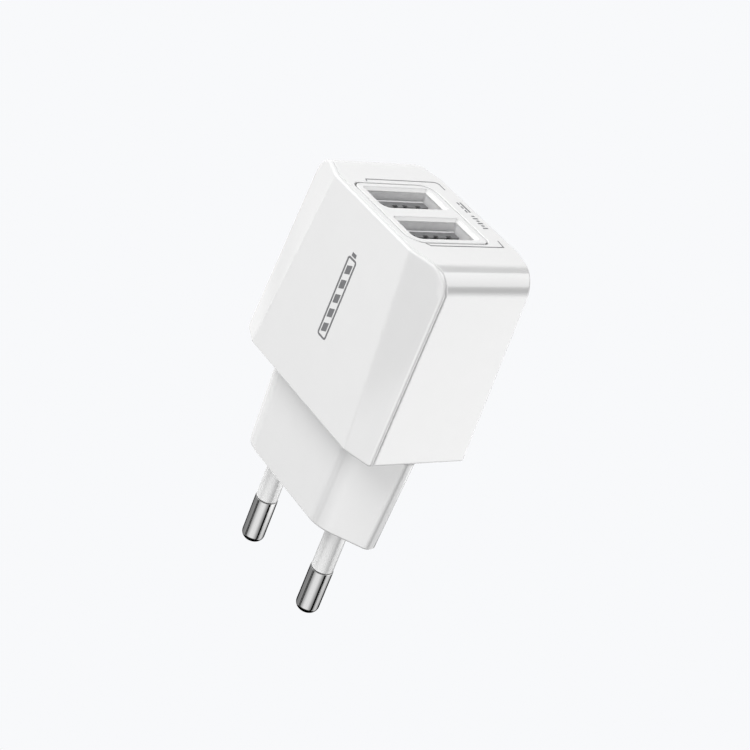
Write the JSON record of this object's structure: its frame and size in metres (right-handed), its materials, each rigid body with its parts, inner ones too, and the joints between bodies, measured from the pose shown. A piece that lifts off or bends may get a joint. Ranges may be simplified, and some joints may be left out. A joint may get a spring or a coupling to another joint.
{
  "type": "usb wall charger",
  "caption": "Compact mains charger with faceted front, round-pin plug and side-by-side USB-A ports on the end face.",
  "frame": {"origin": "centre of the plug's engagement face, half way between the two pins", "axes": "+Z towards the USB face, pins point to -Z, the faceted front looks to -Y, +X to the right seen from the front"},
  "size_m": [0.039, 0.0222, 0.0706],
  "materials": {
    "white_gloss_plastic": "glossy moulded polycarbonate",
    "white_satin_plastic": "satin moulded nylon",
    "nickel_pin": "bright nickel plate",
    "port_steel": "nickel-plated sheet",
    "contact_gold": "gold flash",
    "tongue_plastic": "moulded glass-filled polymer",
    "board_laminate": "solder-masked laminate",
    "ferrite": "ground ferrite",
    "winding_tape": "polyester tape",
    "capacitor_sleeve": "shrink sleeve",
    "blue_epoxy": "dipped epoxy",
    "grey_epoxy": "flameproof coating",
    "chip_black": "moulded epoxy",
    "copper_wire": "enamelled wire",
    "ceramic_tan": "fired ceramic",
    "clear_film": "polyester film",
    "grey_print": "pad print"
  },
  "bodies": {
    "root": {"ac_contact_left": "port_steel", "ac_contact_right": "port_steel", "bridge_rectifier": "chip_black", "choke_core": "ferrite", "choke_winding": "copper_wire", "feedback_optocoupler": "chip_black", "front_cover": "white_gloss_plastic", "fuse_resistor": "grey_epoxy", "input_capacitor_lower": "capacitor_sleeve", "input_capacitor_upper": "capacitor_sleeve", "insulation_sheet": "clear_film", "main_board": "board_laminate", "output_capacitor_lower": "capacitor_sleeve", "output_capacitor_upper": "capacitor_sleeve", "output_link_left": "port_steel", "output_link_right": "port_steel", "output_rectifier": "chip_black", "pin_left": "nickel_pin", "pin_retainer": "white_satin_plastic", "pin_right": "nickel_pin", "pin_sleeve_left": "white_satin_plastic", "pin_sleeve_right": "white_satin_plastic", "plug_shell": "white_gloss_plastic", "port_bezel": "white_gloss_plastic", "port_controller": "chip_black", "port_filter_capacitor_left": "ceramic_tan", "port_filter_capacitor_right": "ceramic_tan", "primary_controller": "chip_black", "rear_housing": "white_gloss_plastic", "transformer_bobbin": "chip_black", "transformer_core_left": "ferrite", "transformer_core_right": "ferrite", "transformer_winding": "winding_tape", "usb_board": "board_laminate", "usb_insulator_left": "tongue_plastic", "usb_insulator_right": "tongue_plastic", "usb_shell_left": "port_steel", "usb_shell_right": "port_steel", "y_capacitor": "blue_epoxy"},
    "left_contacts": {"usb_contact_left_1": "contact_gold", "usb_contact_left_2": "contact_gold", "usb_contact_left_3": "contact_gold", "usb_contact_left_4": "contact_gold"},
    "right_contacts": {"usb_contact_right_1": "contact_gold", "usb_contact_right_2": "contact_gold", "usb_contact_right_3": "contact_gold", "usb_contact_right_4": "contact_gold"}
  },
  "joints": [
    {"name": "left_contact_flex", "type": "hinge", "parent": "root", "child": "left_contacts", "pos_m": [-0.00542, 0, 0.0413], "axis": [0, -1, 0], "range_deg": [0, 4], "stiffness_Nm_per_rad": 0.2},
    {"name": "right_contact_flex", "type": "hinge", "parent": "root", "child": "right_contacts", "pos_m": [0.00358, 0, 0.0413], "axis": [0, -1, 0], "range_deg": [0, 4], "stiffness_Nm_per_rad": 0.2}
  ]
}
